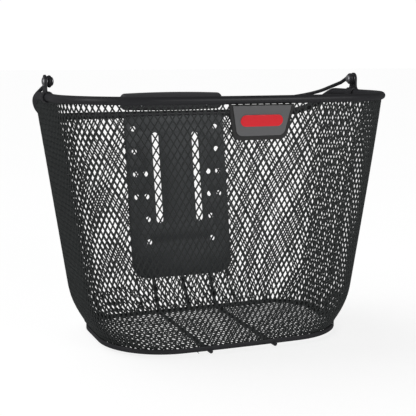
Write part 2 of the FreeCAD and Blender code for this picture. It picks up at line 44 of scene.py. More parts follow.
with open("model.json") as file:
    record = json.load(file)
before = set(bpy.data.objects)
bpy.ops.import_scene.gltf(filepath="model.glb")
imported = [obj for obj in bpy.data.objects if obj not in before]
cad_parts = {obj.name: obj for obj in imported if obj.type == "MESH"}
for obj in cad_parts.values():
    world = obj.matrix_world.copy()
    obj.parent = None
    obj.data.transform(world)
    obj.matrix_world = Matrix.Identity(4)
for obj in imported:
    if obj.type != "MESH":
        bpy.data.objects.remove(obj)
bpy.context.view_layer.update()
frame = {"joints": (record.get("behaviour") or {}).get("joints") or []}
PIVOT = Vector(frame["joints"][0]["pos_m"])
RIM_LOW, RIM_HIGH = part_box("top_rim")
HOOP_LOW, HOOP_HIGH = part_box("base_hoop")
PLATE_LOW, PLATE_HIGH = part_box("mounting_plate")
MM = 0.001

# The wall's form: its middle surface is worked out from these and from the frame's boxes
RIM_RADIUS = 3.75 * MM
RIM_Z = RIM_HIGH.z - RIM_RADIUS
REAR_RIM_Z = RIM_LOW.z + RIM_RADIUS
RIM_DROP_START = PIVOT.y + 36 * MM
RIM_DROP_END = PIVOT.y + 102 * MM
HALF_WIDTH = RIM_HIGH.x - RIM_RADIUS
FRONT_Y = RIM_LOW.y + RIM_RADIUS
SIDE_SLOPE = 0.139
FRONT_SLOPE = 0.128
REAR_SLOPE = 0.169
REAR_Y = RIM_HIGH.y - RIM_RADIUS + REAR_SLOPE * (RIM_Z - REAR_RIM_Z)
FRONT_CORNER = (66 * MM, 86.3 * MM)
REAR_CORNER = (36 * MM, 63 * MM)
FRONT_BOW = (2.0, 0.6)
TUCK_END_Z = 7.6 * MM
SIDE_TUCK_Z = 47 * MM
REAR_TUCK_Z = 36 * MM
TUCK_POWER = 2
HOOP_THICKNESS = 1.2 * MM
HOOP_HALF_WIDTH = HOOP_HIGH.x - HOOP_THICKNESS / 2
HOOP_FRONT_Y = HOOP_LOW.y + HOOP_THICKNESS / 2
HOOP_REAR_Y = HOOP_HIGH.y - HOOP_THICKNESS / 2
SHEET = 1.4 * MM
FLOOR_Z = 4.8 * MM
WINDOW_HALF_WIDTH = 53 * MM
WINDOW_BOTTOM = 46 * MM
PLATE_THICKNESS = 2 * MM
PLATE_GAP = 0.2 * MM


# ---------------------------------------------------------------- the basket's form

def smooth_step(t):
    t = min(max(t, 0.0), 1.0)
    return t * t * (3 - 2 * t)


def rim_height(y):
    """Height of the rim's centre line: level in front and at the sides, lower at the rear."""
    share = smooth_step((y - RIM_DROP_START) / (RIM_DROP_END - RIM_DROP_START))
    return RIM_Z - (RIM_Z - REAR_RIM_Z) * share


def rear_wall(z):
    return REAR_Y - REAR_SLOPE * (RIM_Z - z)


def blend(pair, z):
    """A value between its sizes at the base and at the rim."""
    share = (z - TUCK_END_Z) / (RIM_Z - TUCK_END_Z)
    return pair[0] + (pair[1] - pair[0]) * max(share, 0.0)


def tuck_share(level, start):
    """How far the wall has turned in: 0 where the tuck starts, 1 at the base band and below."""
    return min(max(start - level, 0.0) / (start - TUCK_END_Z), 1.0) ** TUCK_POWER


def wall_plan(z):
    """Half width, front, rear, corner radii and front bow of the wall's middle surface at a height."""
    level = max(z, TUCK_END_Z)
    inset = HOOP_THICKNESS / 2 + SHEET / 2 + 0.05 * MM
    side_turn = tuck_share(level, SIDE_TUCK_Z)
    rear_turn = tuck_share(level, REAR_TUCK_Z)

    def tucked(straight, at_base, turn):
        return straight(level) + (at_base - straight(TUCK_END_Z)) * turn

    half = tucked(lambda h: HALF_WIDTH - SIDE_SLOPE * (RIM_Z - h), HOOP_HALF_WIDTH - inset, side_turn)
    front = tucked(lambda h: FRONT_Y + FRONT_SLOPE * (RIM_Z - h), HOOP_FRONT_Y + inset, side_turn)
    rear = tucked(rear_wall, HOOP_REAR_Y - inset, rear_turn)
    return half, front, rear, blend(FRONT_CORNER, level), blend(REAR_CORNER, level), blend(FRONT_BOW, level)


def hoop_plan():
    return HOOP_HALF_WIDTH, HOOP_FRONT_Y, HOOP_REAR_Y, FRONT_CORNER[0], REAR_CORNER[0], FRONT_BOW[0]


def plan_point(plan, share):
    """A point of the closed outline: share runs once round, from the front's middle over the right."""
    if share > 0.5:
        x, y = plan_point(plan, 1.0 - share)
        return -x, y
    half, front, rear, front_corner, rear_corner, bow = plan
    corner_x = half - front_corner
    reach = bow - front_corner
    corner_y = front + bow - math.sqrt(reach * reach - corner_x * corner_x)
    bow_angle = math.asin(corner_x / reach)
    side = rear - rear_corner - corner_y
    lengths = (bow * bow_angle, front_corner * (math.pi / 2 - bow_angle), side, rear_corner * math.pi / 2)
    left = 2 * share * (sum(lengths) + half - rear_corner)
    if left <= lengths[0]:
        turn = left / bow
        return bow * math.sin(turn), front + bow * (1 - math.cos(turn))
    left -= lengths[0]
    if left <= lengths[1]:
        turn = bow_angle + left / front_corner
        return corner_x + front_corner * math.sin(turn), corner_y - front_corner * math.cos(turn)
    left -= lengths[1]
    if left <= side:
        return half, corner_y + left
    left -= side
    if left <= lengths[3]:
        turn = left / rear_corner
        return half - rear_corner * (1 - math.cos(turn)), rear - rear_corner * (1 - math.sin(turn))
    return half - rear_corner - (left - lengths[3]), rear


def rim_point(share):
    """A point of the rim's centre line, on the wall's middle surface."""
    z = RIM_Z
    for _ in range(12):
        x, y = plan_point(wall_plan(z), share)
        z = rim_height(y)
    return Vector((x, y, z))


def plate_frame(z):
    """Places a drawing made flat in X and Y onto the leaning plate's middle, with its Y up the plate."""
    lean = math.atan(REAR_SLOPE)
    y = rear_wall(z) - SHEET / 2 - PLATE_GAP - PLATE_THICKNESS / 2 / math.cos(lean)
    return Matrix.Translation((0, y, z)) @ Matrix.Rotation(math.pi / 2 - lean, 4, "X")


# ---------------------------------------------------------------- modelling helpers

def deselect():
    if bpy.context.object and bpy.context.object.mode != "OBJECT":
        bpy.ops.object.mode_set(mode="OBJECT")
    bpy.ops.object.select_all(action="DESELECT")


def only(obj):
    """Selects one object and makes it the active one."""
    deselect()
    obj.select_set(True)
    bpy.context.view_layer.objects.active = obj


def apply_modifier(obj, kind, **values):
    only(obj)
    modifier = obj.modifiers.new(kind.title(), kind)
    for key, value in values.items():
        setattr(modifier, key, value)
    bpy.ops.object.modifier_apply(modifier=modifier.name)


def clean_up(obj, distance=0.00001):
    """Merges doubled vertices and turns the faces outwards."""
    only(obj)
    bpy.ops.object.mode_set(mode="EDIT")
    bpy.ops.mesh.select_mode(type="VERT")
    bpy.ops.mesh.select_all(action="SELECT")
    bpy.ops.mesh.remove_doubles(threshold=distance)
    bpy.ops.mesh.normals_make_consistent(inside=False)
    bpy.ops.object.mode_set(mode="OBJECT")


def smooth(obj, degrees=40):
    only(obj)
    bpy.ops.object.shade_smooth_by_angle(angle=math.radians(degrees))


def join(name, objects):
    deselect()
    for obj in objects:
        obj.select_set(True)
    bpy.context.view_layer.objects.active = objects[0]
    if len(objects) > 1:
        bpy.ops.object.join()
    objects[0].name = name
    return objects[0]


def place(obj, matrix):
    """Moves the mesh itself, so that the object stays at the origin."""
    obj.matrix_world = matrix
    only(obj)
    bpy.ops.object.transform_apply(location=True, rotation=True, scale=True)
    return obj


def mirrored_copy(obj, name):
    only(obj)
    bpy.ops.object.duplicate()
    other = bpy.context.object
    other.name = name
    other.scale = (-1, 1, 1)
    bpy.ops.object.transform_apply(location=True, rotation=True, scale=True)
    clean_up(other)
    return other


def finish(obj, body, slot, material, *nodes):
    """Gives a piece its material and says what it rides on and the CAD nodes it stands for; the slot is not
    used.
    """
    obj.data.materials.clear()
    obj.data.materials.append(material)
    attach(obj, body)
    if nodes:
        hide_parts(*nodes)
    return obj


def tube(name, points, radius, closed=False, sides=5):
    """A round wire or tube along points, as a mesh."""
    deselect()
    bpy.ops.curve.primitive_nurbs_path_add()
    obj = bpy.context.object
    obj.name = name
    curve = obj.data
    curve.splines.clear()
    spline = curve.splines.new("POLY")
    spline.points.add(len(points) - 1)
    for target, point in zip(spline.points, points):
        target.co = (*point, 1.0)
    spline.use_cyclic_u = closed
    curve.twist_mode = "MINIMUM"
    curve.bevel_depth = radius
    curve.bevel_resolution = sides
    curve.use_fill_caps = not closed
    only(obj)
    bpy.ops.object.convert(target="MESH")
    clean_up(obj)
    smooth(obj, 50)
    return obj


def flat_part(name, outlines, thickness, edge, segments=2):
    """A flat part with holes, drawn in X and Y with its middle at Z = 0 and its edges rounded."""
    deselect()
    bpy.ops.curve.primitive_bezier_circle_add()
    obj = bpy.context.object
    obj.name = name
    curve = obj.data
    curve.dimensions = "2D"
    curve.splines.clear()
    for outline in outlines:
        spline = curve.splines.new("POLY")
        spline.points.add(len(outline) - 1)
        for target, (x, y) in zip(spline.points, outline):
            target.co = (x, y, 0, 1)
        spline.use_cyclic_u = True
    curve.fill_mode = "BOTH"
    curve.extrude = thickness / 2 - edge
    curve.bevel_depth = edge
    curve.bevel_resolution = segments
    curve.offset = -edge
    only(obj)
    bpy.ops.object.convert(target="MESH")
    clean_up(obj)
    smooth(obj, 35)
    return obj


def turned(name, profile, steps=40):
    """A solid of revolution round X: the profile is (distance along X, radius) from one end to the other."""
    deselect()
    bpy.ops.mesh.primitive_plane_add(size=0.001, location=(0, 0, 0))
    obj = bpy.context.object
    obj.name = name
    bpy.ops.object.mode_set(mode="EDIT")
    bpy.ops.mesh.select_mode(type="VERT")
    bpy.ops.mesh.select_all(action="SELECT")
    bpy.ops.mesh.merge(type="CENTER")
    bpy.ops.transform.translate(value=(profile[0][0], 0, profile[0][1]))
    here = profile[0]
    for along, radius in profile[1:]:
        step = (along - here[0], 0, radius - here[1])
        bpy.ops.mesh.extrude_region_move(TRANSFORM_OT_translate={"value": step})
        here = (along, radius)
    bpy.ops.mesh.select_all(action="SELECT")
    bpy.ops.mesh.spin(steps=steps, angle=2 * math.pi, center=(0, 0, 0), axis=(1, 0, 0))
    bpy.ops.object.mode_set(mode="OBJECT")
    clean_up(obj)
    smooth(obj, 35)
    return obj


def arc_points(centre, radius, start, end, count):
    """Points of an arc in a plane, from one angle to another in degrees."""
    angles = [math.radians(start + (end - start) * i / count) for i in range(count + 1)]
    return [(centre[0] + radius * math.cos(a), centre[1] + radius * math.sin(a)) for a in angles]


def rounded_path(points, radii, count=10):
    """Straight runs through the points with round corners, as points in space."""
    path = [Vector(points[0])]
    for corner, before, after, radius in zip(points[1:-1], points, points[2:], radii):
        corner = Vector(corner)
        back = (Vector(before) - corner).normalized()
        ahead = (Vector(after) - corner).normalized()
        half_angle = back.angle(ahead) / 2
        centre = corner + (back + ahead).normalized() * radius / math.sin(half_angle)
        first = corner + back * radius / math.tan(half_angle) - centre
        last = corner + ahead * radius / math.tan(half_angle) - centre
        turn = first.angle(last)
        for i in range(count + 1):
            t = i / count
            share = (math.sin((1 - t) * turn) * first + math.sin(t * turn) * last) / math.sin(turn)
            path.append(centre + share)
    path.append(Vector(points[-1]))
    return path


# ---------------------------------------------------------------- materials

def principled(name, color, roughness):
    material = bpy.data.materials.new(name)
    material.use_nodes = True
    shader = material.node_tree.nodes["Principled BSDF"]
    shader.inputs["Base Color"].default_value = (*color, 1)
    shader.inputs["Roughness"].default_value = roughness
    shader.inputs["IOR"].default_value = 1.36
    return material, material.node_tree, shader


def add_node(tree, kind, **inputs):
    node = tree.nodes.new(kind)
    for key, value in inputs.items():
        node.inputs[key.replace("_", " ")].default_value = value
    return node


def noise(tree, scale, detail=3.0, roughness=0.55):
    """Noise on the piece's own coordinates; scale is in waves per metre."""
    coordinates = tree.nodes.new("ShaderNodeTexCoord")
    node = add_node(tree, "ShaderNodeTexNoise", Scale=scale, Detail=detail, Roughness=roughness)
    tree.links.new(coordinates.outputs["Object"], node.inputs["Vector"])
    return node.outputs["Fac"]


def spread(tree, value, low, high, out_low, out_high):
    """Maps one range of a value onto another."""
    node = tree.nodes.new("ShaderNodeMapRange")
    for key, number in (("From Min", low), ("From Max", high), ("To Min", out_low), ("To Max", out_high)):
        node.inputs[key].default_value = number
    tree.links.new(value, node.inputs["Value"])
    return node.outputs["Result"]


def mixed(tree, factor, first, second):
    """A colour between two, each given as numbers or as another node's output."""
    node = tree.nodes.new("ShaderNodeMix")
    node.data_type = "RGBA"
    tree.links.new(factor, node.inputs[0])
    for socket, color in ((node.inputs[6], first), (node.inputs[7], second)):
        if isinstance(color, bpy.types.NodeSocket):
            tree.links.new(color, socket)
        else:
            socket.default_value = (*color, 1)
    return node.outputs[2]


def bumped(tree, shader, heights):
    """Stacks bumps: each is (height output, strength, distance)."""
    normal = None
    for height, strength, distance in heights:
        bump = tree.nodes.new("ShaderNodeBump")
        bump.inputs["Strength"].default_value = strength
        bump.inputs["Distance"].default_value = distance
        tree.links.new(height, bump.inputs["Height"])
        if normal:
            tree.links.new(normal, bump.inputs["Normal"])
        normal = bump.outputs["Normal"]
    tree.links.new(normal, shader.inputs["Normal"])


def scaled(color, factor):
    return tuple(min(channel * factor, 1.0) for channel in color)


def powder_coat(name, color, roughness, peel=0.25, gloss=0.25):
    """Baked-on powder paint: orange peel, faint cloudiness, dust specks and slightly rubbed edges."""
    material, tree, shader = principled(name, color, roughness)
    clouds = spread(tree, noise(tree, 22, 4), 0.3, 0.7, 0, 1)
    base = mixed(tree, clouds, scaled(color, 0.75), scaled(color, 1.3))
    specks = spread(tree, noise(tree, 2600, 1), 0.70, 0.78, 0, 1)
    base = mixed(tree, specks, base, scaled(color, 3.0))
    geometry = tree.nodes.new("ShaderNodeNewGeometry")
    edges = spread(tree, geometry.outputs["Pointiness"], 0.54, 0.62, 0, 0.6)
    base = mixed(tree, edges, base, scaled(color, 2.2))
    tree.links.new(base, shader.inputs["Base Color"])
    rough = spread(tree, noise(tree, 160, 3), 0.25, 0.75, roughness - 0.06, roughness + 0.08)
    tree.links.new(rough, shader.inputs["Roughness"])
    bumped(tree, shader, [
        (noise(tree, 700, 2), peel, 0.00012),
        (noise(tree, 2400, 1), peel * 0.5, 0.00004),
    ])
    shader.inputs["Specular IOR Level"].default_value = gloss
    return material


def moulded_plastic(name, color, roughness, grain):
    """Moulded plastic: fine spark-eroded grain, slow flow marks and a little dust in the colour."""
    material, tree, shader = principled(name, color, roughness)
    flow = spread(tree, noise(tree, 35, 2), 0.3, 0.7, 0, 1)
    base = mixed(tree, flow, scaled(color, 0.9), scaled(color, 1.12))
    dust = spread(tree, noise(tree, 1800, 2), 0.62, 0.75, 0, 0.5)
    base = mixed(tree, dust, base, scaled(color, 1.5))
    tree.links.new(base, shader.inputs["Base Color"])
    rough = spread(tree, noise(tree, 420, 2), 0.3, 0.7, roughness - 0.05, roughness + 0.05)
    tree.links.new(rough, shader.inputs["Roughness"])
    cells = add_node(tree, "ShaderNodeTexVoronoi", Scale=1500.0)
    coordinates = tree.nodes.new("ShaderNodeTexCoord")
    tree.links.new(coordinates.outputs["Object"], cells.inputs["Vector"])
    bumped(tree, shader, [
        (cells.outputs["Distance"], grain, 0.00008),
        (noise(tree, 90, 2), grain * 0.4, 0.0002),
    ])
    return material


def plated_steel(name, color, roughness):
    """Zinc-plated steel: mottling, dull patches and a fine grain."""
    material, tree, shader = principled(name, color, roughness)
    shader.inputs["Metallic"].default_value = 1.0
    mottle = spread(tree, noise(tree, 500, 4), 0.3, 0.7, 0, 1)
    base = mixed(tree, mottle, scaled(color, 0.75), scaled(color, 1.15))
    tree.links.new(base, shader.inputs["Base Color"])
    rough = spread(tree, noise(tree, 900, 3), 0.3, 0.7, roughness - 0.08, roughness + 0.12)
    tree.links.new(rough, shader.inputs["Roughness"])
    bumped(tree, shader, [(noise(tree, 3000, 2), 0.2, 0.00003)])
    return material


def basket_materials():
    """Every finish of the basket, made once and kept by name."""
    look = bpy.context.scene.basket_look
    makers = {
        "mesh_coat": lambda: powder_coat(
            "mesh_coat", look.mesh_color, look.coat_roughness + 0.04, gloss=0.2),
        "rim_coat": lambda: powder_coat("rim_coat", look.rim_color, look.coat_roughness - 0.09, 0.12),
        "wire_coat": lambda: powder_coat("wire_coat", look.rim_color, look.coat_roughness, 0.2),
        # painted sheen: the plate's coat is ten times lighter than the mesh's black, standing in for the
        # light its broad face reflects
        "plate_coat": lambda: powder_coat("plate_coat", look.plate_color_and_sheen, look.coat_roughness, 0.3),
        "holder_plastic": lambda: moulded_plastic("holder_plastic", (0.012, 0.012, 0.013), 0.5, 0.3),
        "badge_plastic": lambda: moulded_plastic("badge_plastic", look.badge_color, 0.42, 0.2),
        "inlay_plastic": lambda: moulded_plastic("inlay_plastic", look.inlay_color, 0.28, 0.08),
        "grip_plastic": lambda: moulded_plastic("grip_plastic", look.grip_color, 0.48, 0.45),
        "rivet_steel": lambda: plated_steel("rivet_steel", (0.5, 0.5, 0.52), 0.35),
        "fastener_steel": lambda: plated_steel("fastener_steel", (0.38, 0.38, 0.4), 0.42),
    }
    return {name: bpy.data.materials.get(name) or make() for name, make in makers.items()}


# ---------------------------------------------------------------- properties

class BasketSizes(bpy.types.PropertyGroup):
    """Sizes that shape the basket's fine detail."""
    columns: IntProperty(name="Mesh columns", description="Diamonds once round the rim", default=152, min=40)
    rows: IntProperty(
        name="Mesh rows", description="Diamonds up the wall, with one to spare", default=24, min=6)
    row_height: FloatProperty(
        name="Row height", description="Height of a diamond of the wall",
        default=10.5 * MM, subtype="DISTANCE", unit="LENGTH")
    top_row: FloatProperty(
        name="Top row",
        description="The middle of the top row of whole diamonds lies this far below the rim's line",
        default=6.6 * MM, subtype="DISTANCE", unit="LENGTH")
    row_drift: FloatProperty(
        name="Row drift", description="How far the rows run up towards the right side, in diamonds",
        default=0.5, min=0.0, max=1.0)
    strand: FloatProperty(
        name="Strand", description="Width of a strand of the expanded metal",
        default=1.15 * MM, subtype="DISTANCE", unit="LENGTH")
    strand_thickness: FloatProperty(
        name="Strand thickness", description="Thickness of the expanded metal before its edges are rounded",
        default=1.1 * MM, subtype="DISTANCE", unit="LENGTH")
    floor_pitch: FloatProperty(
        name="Floor pitch", description="Width of a diamond of the floor",
        default=6.6 * MM, subtype="DISTANCE", unit="LENGTH")
    wire_radius: FloatProperty(
        name="Wire radius", description="Radius of the wires under the base",
        default=2.0 * MM, subtype="DISTANCE", unit="LENGTH")
    bail_radius: FloatProperty(
        name="Bail radius", description="Radius of the bail's wire",
        default=1.9 * MM, subtype="DISTANCE", unit="LENGTH")


class BasketLook(bpy.types.PropertyGroup):
    """Colours and finish of the basket."""
    mesh_color: FloatVectorProperty(
        name="Mesh", description="Powder coat of the mesh",
        default=(0.0015, 0.0015, 0.0016), subtype="COLOR", size=3)
    rim_color: FloatVectorProperty(
        name="Rim", description="Powder coat of the rim and wires",
        default=(0.0012, 0.0012, 0.0013), subtype="COLOR", size=3)
    # Painted sheen: the plate's black coat gets a lighter colour than the mesh's, standing in for the light
    # its broad face catches
    plate_color_and_sheen: FloatVectorProperty(
        name="Plate", description="Powder coat of the rear plate",
        default=(0.0150, 0.0150, 0.0155), subtype="COLOR", size=3)
    badge_color: FloatVectorProperty(
        name="Badge", description="Grey face of the badge",
        default=(0.075, 0.075, 0.076), subtype="COLOR", size=3)
    inlay_color: FloatVectorProperty(
        name="Inlay", description="Red inlay of the badge",
        default=(0.66, 0.005, 0.009), subtype="COLOR", size=3)
    grip_color: FloatVectorProperty(
        name="Grip", description="Plastic of the bail's grip",
        default=(0.012, 0.012, 0.0125), subtype="COLOR", size=3)
    coat_roughness: FloatProperty(
        name="Coat roughness", description="Roughness of the powder coat", default=0.27, min=0.05, max=1.0,
        subtype="FACTOR")


# ---------------------------------------------------------------- expanded metal

def diamond_grid(name, columns, rows):
    """A flat sheet of whole diamonds: X counts columns from 0, Y counts rows from 0."""
    deselect()
    bpy.ops.mesh.primitive_grid_add(x_subdivisions=columns, y_subdivisions=rows, size=1)
    obj = bpy.context.object
    obj.name = name
    bpy.ops.object.mode_set(mode="EDIT")
    bpy.ops.mesh.select_all(action="SELECT")
    bpy.ops.mesh.poke()
    bpy.ops.object.mode_set(mode="OBJECT")
    for vertex in obj.data.vertices:
        vertex.co = ((vertex.co.x + 0.5) * columns, (vertex.co.y + 0.5) * rows, 0)
    return obj


def dissolve_straight_edges(obj, straight):
    """Joins pairs of triangles into diamonds by dissolving the grid's own edges."""
    only(obj)
    bpy.ops.object.mode_set(mode="EDIT")
    bpy.ops.mesh.select_mode(type="EDGE")
    bpy.ops.mesh.select_all(action="DESELECT")
    bpy.ops.object.mode_set(mode="OBJECT")
    for edge in obj.data.edges:
        edge.select = straight[edge.vertices[0]] and straight[edge.vertices[1]]
    bpy.ops.object.mode_set(mode="EDIT")
    bpy.ops.mesh.dissolve_edges(use_verts=False)
    bpy.ops.object.mode_set(mode="OBJECT")


def cut(obj, wanted, point, normal, clear_outer=False):
    """Bisects the faces whose centre is wanted; what lies ahead of the plane may be cleared."""
    only(obj)
    bpy.ops.object.mode_set(mode="EDIT")
    bpy.ops.mesh.select_mode(type="FACE")
    bpy.ops.mesh.select_all(action="DESELECT")
    bpy.ops.object.mode_set(mode="OBJECT")
    for face in obj.data.polygons:
        face.select = bool(wanted(face.center))
    bpy.ops.object.mode_set(mode="EDIT")
    bpy.ops.mesh.bisect(plane_co=point, plane_no=normal, clear_outer=clear_outer, threshold=0.000001)
    bpy.ops.object.mode_set(mode="OBJECT")


def delete_faces(obj, unwanted):
    only(obj)
    bpy.ops.object.mode_set(mode="EDIT")
    bpy.ops.mesh.select_mode(type="FACE")
    bpy.ops.mesh.select_all(action="DESELECT")
    bpy.ops.object.mode_set(mode="OBJECT")
    for face in obj.data.polygons:
        face.select = bool(unwanted(face.center))
    bpy.ops.object.mode_set(mode="EDIT")
    bpy.ops.mesh.delete(type="FACE")
    bpy.ops.object.mode_set(mode="OBJECT")


def open_diamonds(obj, strand, smallest):
    """Leaves a strand all round each diamond and opens the rest; slivers stay closed."""
    only(obj)
    bpy.ops.object.mode_set(mode="EDIT")
    bpy.ops.mesh.select_mode(type="FACE")
    bpy.ops.mesh.select_all(action="DESELECT")
    bpy.ops.object.mode_set(mode="OBJECT")
    for face in obj.data.polygons:
        face.select = face.area > smallest
    bpy.ops.object.mode_set(mode="EDIT")
    bpy.ops.mesh.inset(thickness=strand / 2, use_individual=True, use_even_offset=True)
    bpy.ops.mesh.delete(type="FACE")
    bpy.ops.object.mode_set(mode="OBJECT")


def thicken(obj, thickness):
    """Gives the strands their thickness and rounds them."""
    apply_modifier(obj, "SOLIDIFY", thickness=thickness, offset=0.0, use_even_offset=True)
    apply_modifier(obj, "BEVEL", width=thickness * 0.36, segments=2, limit_method="ANGLE")
    only(obj)
    bpy.ops.object.shade_smooth()


WALL_PANELS = 7            # splits the wall so that each piece has fewer triangles; keeps each piece under the limit of triangles


def panel_of(share, panels):
    """Which of the wall's panels a place round the rim belongs to; the first is centred on the front."""
    return int((share * panels + 0.5) % panels)


class BASKET_OT_wall(bpy.types.Operator):
    """Expanded metal wall, in panels that follow the strands"""
    bl_idname = "basket.wall"
    bl_label = "Wall mesh"

    def execute(self, context):
        sizes = context.scene.basket_sizes
        columns, rows = sizes.columns, sizes.rows
        row_height = sizes.row_height
        base_z = RIM_Z - sizes.top_row - (rows - 1.5) * row_height

        def drift(share):
            """The rows run up a little across the front to the right side, and down again behind."""
            side = share if share <= 0.5 else share - 1
            return sizes.row_drift * smooth_step((side + 0.15) / 0.3) * smooth_step((0.5 - side) / 0.3)

        def row_z(share, row):
            return base_z + (row + drift(share)) * row_height

        rim_rows = []
        for i in range(2 * columns + 1):
            share = i / columns / 2
            rim_rows.append((rim_point(share).z - base_z) / row_height - drift(share))
        wall = diamond_grid("wall", columns, rows)
        straight = [abs(v.co.x - round(v.co.x)) < 0.01 for v in wall.data.vertices]
        dissolve_straight_edges(wall, straight)

        def rim_row(x):
            return rim_rows[min(max(round(2 * x), 0), 2 * columns)]

        for vertex in wall.data.vertices:
            vertex.co.y -= rim_row(vertex.co.x)
        cut(wall, lambda centre: True, (0, 0, 0), (0, 1, 0), clear_outer=True)
        for vertex in wall.data.vertices:
            vertex.co.y += rim_row(vertex.co.x)

        for _ in range(WALL_PANELS):
            wall.data.materials.append(None)
        for face in wall.data.polygons:
            face.material_index = panel_of(face.center.x / columns, WALL_PANELS)
        for vertex in wall.data.vertices:
            share = vertex.co.x / columns
            z = row_z(share, vertex.co.y)
            x, y = plan_point(wall_plan(z), min(max(share, 0.0), 1.0))
            vertex.co = (x, y, z)
        cut(wall, lambda centre: True, (0, 0, HOOP_LOW.z + 0.6 * MM), (0, 0, -1), clear_outer=True)
        clean_up(wall)
        self.join_seam(wall)
        self.cut_window(wall)
        open_diamonds(wall, sizes.strand, 8 * MM * MM)

        only(wall)
        bpy.ops.object.mode_set(mode="EDIT")
        bpy.ops.mesh.select_all(action="SELECT")
        bpy.ops.mesh.separate(type="MATERIAL")
        bpy.ops.object.mode_set(mode="OBJECT")
        parts = sorted(context.selected_objects, key=lambda o: o.data.polygons[0].center.x)
        material = basket_materials()["mesh_coat"]
        for number, part in enumerate(parts, 1):
            part.name = f"wall_panel_{number}"
            thicken(part, sizes.strand_thickness)
            finish(part, "basket", "mesh_coat", material, "wall_mesh")
        return {"FINISHED"}

    @staticmethod
    def join_seam(wall):
        """Dissolves the edges left on the line where the sheet's two ends met."""
        coordinates = [v.co for v in wall.data.vertices]
        on_seam = [abs(p.x) < 0.00001 and p.y < PIVOT.y for p in coordinates]
        dissolve_straight_edges(wall, on_seam)

    @staticmethod
    def cut_window(wall):
        """Opens the rear wall behind the plate, with straight sides."""
        edge = WINDOW_HALF_WIDTH
        near = 20 * MM

        def behind(centre):
            return centre.y > PIVOT.y + 30 * MM and abs(centre.x) < edge + near

        for side in (-1, 1):
            cut(wall, behind, (side * edge, 0, 0), (side, 0, 0))
        cut(wall, lambda c: behind(c) and abs(c.x) < edge, (0, 0, WINDOW_BOTTOM), (0, 0, 1))
        delete_faces(wall, lambda c: behind(c) and abs(c.x) < edge and c.z > WINDOW_BOTTOM)


class BASKET_OT_floor(bpy.types.Operator):
    """Expanded metal floor inside the base band"""
    bl_idname = "basket.floor"
    bl_label = "Floor mesh"

    def execute(self, context):
        sizes = context.scene.basket_sizes
        plan = wall_plan(TUCK_END_Z)
        half, front, rear = plan[:3]
        outline = np.array([plan_point(plan, i / 360) for i in range(360)])
        centre_y = (front + rear) / 2
        pitch = Vector((sizes.floor_pitch, sizes.floor_pitch * 10.4 / 6.6))
        columns = 2 * math.ceil(half / pitch.x)
        rows = 2 * math.ceil((rear - front) / 2 / pitch.y)
        floor = diamond_grid("floor_lattice", columns, rows)
        straight = [abs(v.co.x - round(v.co.x)) < 0.01 for v in floor.data.vertices]
        dissolve_straight_edges(floor, straight)
        for vertex in floor.data.vertices:
            x = (vertex.co.x - columns / 2) * pitch.x
            y = centre_y + (vertex.co.y - rows / 2) * pitch.y
            vertex.co = (x, y, FLOOR_Z)

        def outside(x, y):
            """How far a place lies beyond the outline, and the outline's nearest point."""
            offsets = outline - (x, y)
            nearest = int(np.argmin((offsets ** 2).sum(1)))
            before, after = outline[nearest - 1], outline[(nearest + 1) % len(outline)]
            outward = np.array((after[1] - before[1], before[0] - after[0]))
            depth = np.dot(-offsets[nearest], outward) / np.linalg.norm(outward)
            return depth, outline[nearest]

        delete_faces(floor, lambda c: outside(c.x, c.y)[0] > 0)
        for vertex in floor.data.vertices:
            depth, edge = outside(vertex.co.x, vertex.co.y)
            if depth > 0:
                vertex.co.x, vertex.co.y = edge
        open_diamonds(floor, sizes.strand, 8 * MM * MM)
        thicken(floor, sizes.strand_thickness)
        finish(floor, "basket", "mesh_coat", basket_materials()["mesh_coat"], "floor_mesh")
        return {"FINISHED"}


# ---------------------------------------------------------------- rim, base band and wires

class BASKET_OT_rim(bpy.types.Operator):
    """Round tube along the top edge, dipping to the rear"""
    bl_idname = "basket.rim"
    bl_label = "Top rim"

    def execute(self, context):
        count = 300
        points = [rim_point(i / count) for i in range(count)]
        rim = tube("rim_tube", points, RIM_RADIUS, closed=True, sides=7)
        finish(rim, "basket", "rim_coat", basket_materials()["rim_coat"], "top_rim")
        return {"FINISHED"}


class BASKET_OT_hoop(bpy.types.Operator):
    """Flat band with rounded edges round the base"""
    bl_idname = "basket.hoop"
    bl_label = "Base band"

    def execute(self, context):
        count = 240
        deselect()
        bpy.ops.mesh.primitive_circle_add(vertices=count, radius=0.1, location=(0, 0, HOOP_LOW.z))
        hoop = bpy.context.object
        hoop.name = "base_band"
        bpy.ops.object.transform_apply()
        for i, vertex in enumerate(hoop.data.vertices):
            vertex.co.x, vertex.co.y = plan_point(hoop_plan(), i / count)
        bpy.ops.object.mode_set(mode="EDIT")
        bpy.ops.mesh.select_all(action="SELECT")
        bpy.ops.mesh.extrude_region_move(TRANSFORM_OT_translate={"value": (0, 0, HOOP_HIGH.z - HOOP_LOW.z)})
        bpy.ops.object.mode_set(mode="OBJECT")
        clean_up(hoop)
        apply_modifier(hoop, "SOLIDIFY", thickness=HOOP_THICKNESS, offset=0.0)
        apply_modifier(hoop, "BEVEL", width=0.55 * MM, segments=3, limit_method="ANGLE")
        smooth(hoop, 40)
        finish(hoop, "basket", "rim_coat", basket_materials()["rim_coat"], "base_hoop")
        return {"FINISHED"}


def wire_line(z):
    """Where a rear wire's centre runs outside the flat rear wall."""
    return rear_wall(z) + SHEET / 2 + bpy.context.scene.basket_sizes.wire_radius - 0.1 * MM


